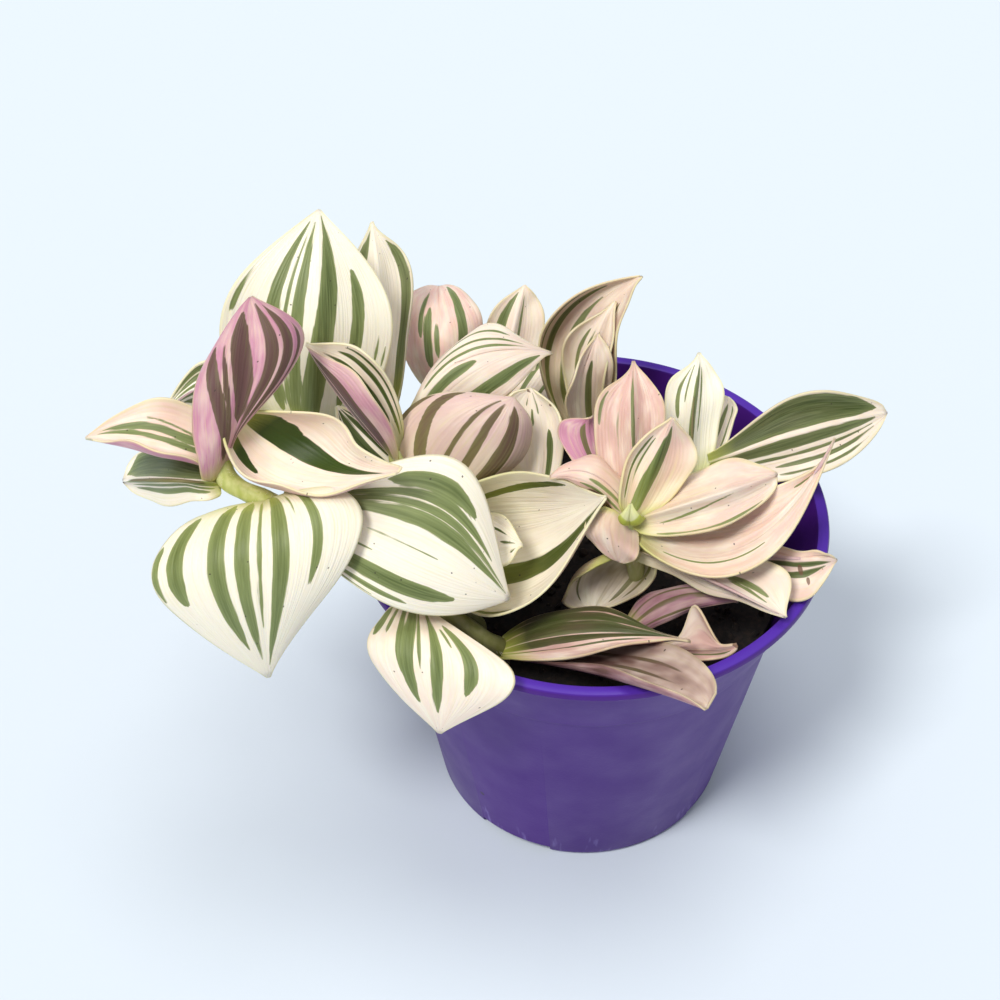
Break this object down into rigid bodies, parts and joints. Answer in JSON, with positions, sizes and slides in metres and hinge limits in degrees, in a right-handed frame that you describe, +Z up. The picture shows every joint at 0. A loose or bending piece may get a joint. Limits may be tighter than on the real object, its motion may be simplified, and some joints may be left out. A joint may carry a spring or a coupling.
{
  "type": "potted plant",
  "caption": "Tapered plastic nursery pot filled with potting soil, with leafy striped shoots that rise from the soil and lean out over the rim.",
  "frame": {"origin": "centre of the pot's underside, on the plane that it stands on", "axes": "+Z up along the pot's axis; -Y towards the front, which the picture shows; -X towards the longest shoot"},
  "size_m": [0.1807, 0.1316, 0.1444],
  "materials": {
    "pot": "satin",
    "soil": "matte",
    "leaf": "satin"
  },
  "bodies": {
    "root": {"pot": "pot", "soil": "soil", "shoot_left": "leaf", "shoot_tall": "leaf", "shoot_middle": "leaf", "shoot_back": "leaf", "shoot_curl": "leaf", "shoot_core": "leaf", "shoot_rosette": "leaf", "shoot_right": "leaf", "shoot_rim": "leaf", "shoot_low": "leaf", "shoot_front": "leaf"}
  },
  "joints": []
}
